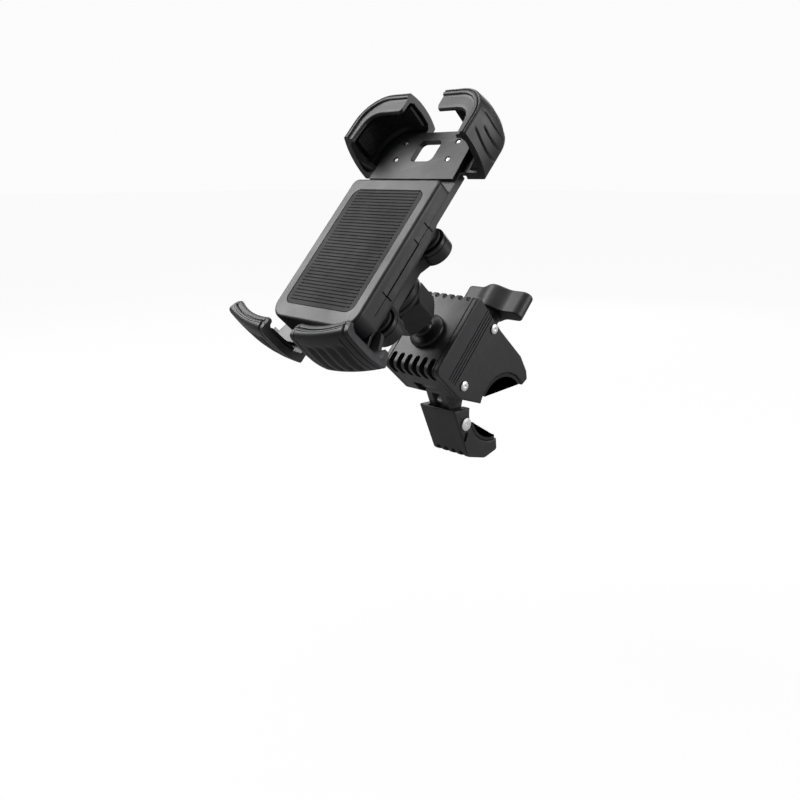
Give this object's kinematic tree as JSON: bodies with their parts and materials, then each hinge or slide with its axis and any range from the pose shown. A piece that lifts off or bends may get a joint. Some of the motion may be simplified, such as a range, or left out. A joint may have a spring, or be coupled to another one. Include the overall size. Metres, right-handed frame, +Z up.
{
  "type": "bicycle phone mount",
  "caption": "Handlebar clamp with a thumb-screw jaw, a ball joint with a locking collar, rubber dampers and a sliding cradle whose corner claws hold a phone.",
  "frame": {"origin": "on the handlebar's axis, in the middle of the clamp's width", "axes": "+X along the handlebar to the rider's right, +Y forward, +Z up; the phone's face looks up and back towards the rider"},
  "size_m": [0.0946, 0.1759, 0.2081],
  "materials": {
    "housing_plastic": "charcoal glass-filled nylon, fine moulded grain, satin on the edges",
    "claw_plastic": "charcoal nylon with a soft sheen, moulded ribs and grooves",
    "rubber": "black moulded rubber, dull",
    "black_aluminium": "black anodised aluminium, satin",
    "steel": "bright zinc-plated steel with turned faces",
    "liner_acetal": "dark acetal, smooth"
  },
  "bodies": {
    "clamp": {"clamp_body": "housing_plastic", "side_plate_left": "housing_plastic", "side_plate_right": "housing_plastic", "upper_bar_pad": "rubber", "plate_pin": "steel", "rocker_pin": "steel", "knob_washer": "steel"},
    "rocker": {"rocker": "black_aluminium", "jaw_pin": "steel"},
    "nut": {"barrel_nut": "steel"},
    "jaw": {"lower_jaw": "housing_plastic", "lower_bar_pad": "rubber"},
    "knob": {"wing_knob": "housing_plastic", "clamp_screw": "steel"},
    "stud": {"ball_stud": "black_aluminium", "stud_washer": "steel", "stud_screw": "steel"},
    "liner": {"ball_liner": "liner_acetal"},
    "cradle": {"ball_socket": "black_aluminium", "damper_plate": "housing_plastic", "socket_screw_1": "steel", "socket_screw_2": "steel", "damper_1": "rubber", "damper_2": "rubber", "damper_3": "rubber", "damper_4": "rubber", "damper_screw_1": "steel", "damper_screw_2": "steel", "damper_screw_3": "steel", "damper_screw_4": "steel", "cradle_cover": "housing_plastic", "cradle_shell": "housing_plastic", "phone_pad": "rubber", "cover_screw_1": "steel", "cover_screw_2": "steel", "button_spring_left": "steel", "button_spring_right": "steel", "lower_claw_left": "claw_plastic", "lower_claw_right": "claw_plastic", "lower_claw_pad_left": "rubber", "lower_claw_pad_right": "rubber", "lower_claw_screw_1": "steel", "lower_claw_screw_2": "steel", "lower_claw_screw_3": "steel", "lower_claw_screw_4": "steel"},
    "lock_nut": {"lock_nut": "housing_plastic"},
    "button_left": {"side_button_left": "housing_plastic"},
    "button_right": {"side_button_right": "housing_plastic"},
    "upper_jaw": {"upper_slider": "housing_plastic", "upper_claw_left": "claw_plastic", "upper_claw_right": "claw_plastic", "upper_claw_pad_left": "rubber", "upper_claw_pad_right": "rubber", "upper_claw_screw_1": "steel", "upper_claw_screw_2": "steel", "upper_claw_screw_3": "steel", "upper_claw_screw_4": "steel"}
  },
  "joints": [
    {"name": "knob_turn", "type": "hinge", "parent": "clamp", "child": "knob", "pos_m": [0, 0.00123, 0.04296], "axis": [0, 0.673, 0.7396], "range_deg": [-460, 2460]},
    {"name": "rocker_swing", "type": "hinge", "parent": "clamp", "child": "rocker", "pos_m": [0, -0.03606, 0.0201], "axis": [1, 0, 0], "range_deg": [-32.2, 6.2]},
    {"name": "nut_swivel", "type": "hinge", "parent": "rocker", "child": "nut", "pos_m": [0, -0.02482, 0.01433], "axis": [1, 0, 0], "range_deg": [-6.2, 32.2]},
    {"name": "jaw_swivel", "type": "hinge", "parent": "rocker", "child": "jaw", "pos_m": [0, -0.02516, -0.00613], "axis": [1, 0, 0], "range_deg": [-4, 8]},
    {"name": "stud_spin", "type": "hinge", "parent": "clamp", "child": "stud", "pos_m": [0, -0.04279, 0.04881], "axis": [0, -0.7396, 0.673], "continuous": true},
    {"name": "ball_pitch", "type": "hinge", "parent": "stud", "child": "liner", "pos_m": [0, -0.06017, 0.06462], "axis": [1, 0, 0], "range_deg": [-20, 20]},
    {"name": "ball_yaw", "type": "hinge", "parent": "liner", "child": "cradle", "pos_m": [0, -0.06017, 0.06462], "axis": [0, 0.673, 0.7396], "range_deg": [-20, 20]},
    {"name": "lock_nut_turn", "type": "hinge", "parent": "cradle", "child": "lock_nut", "pos_m": [0, -0.06017, 0.06462], "axis": [0, -0.7396, 0.673], "range_deg": [0, 180]},
    {"name": "button_left_press", "type": "slide", "parent": "cradle", "child": "button_left", "axis": [1, 0, 0], "range_m": [0, 0.0022], "stiffness_N_per_m": 600, "springref_m": -0.003, "deforming": ["button_spring_left"]},
    {"name": "button_right_press", "type": "slide", "parent": "cradle", "child": "button_right", "axis": [-1, 0, 0], "range_m": [0, 0.0022], "stiffness_N_per_m": 600, "springref_m": -0.003, "deforming": ["button_spring_right"]},
    {"name": "upper_jaw_slide", "type": "slide", "parent": "cradle", "child": "upper_jaw", "axis": [0, 0.673, 0.7396], "range_m": [0, 0.028]}
  ],
  "couplings": [
    {"joint": "rocker_swing", "follows": "knob_turn", "ratio": -0.012987},
    {"joint": "nut_swivel", "follows": "knob_turn", "ratio": 0.012987}
  ]
}
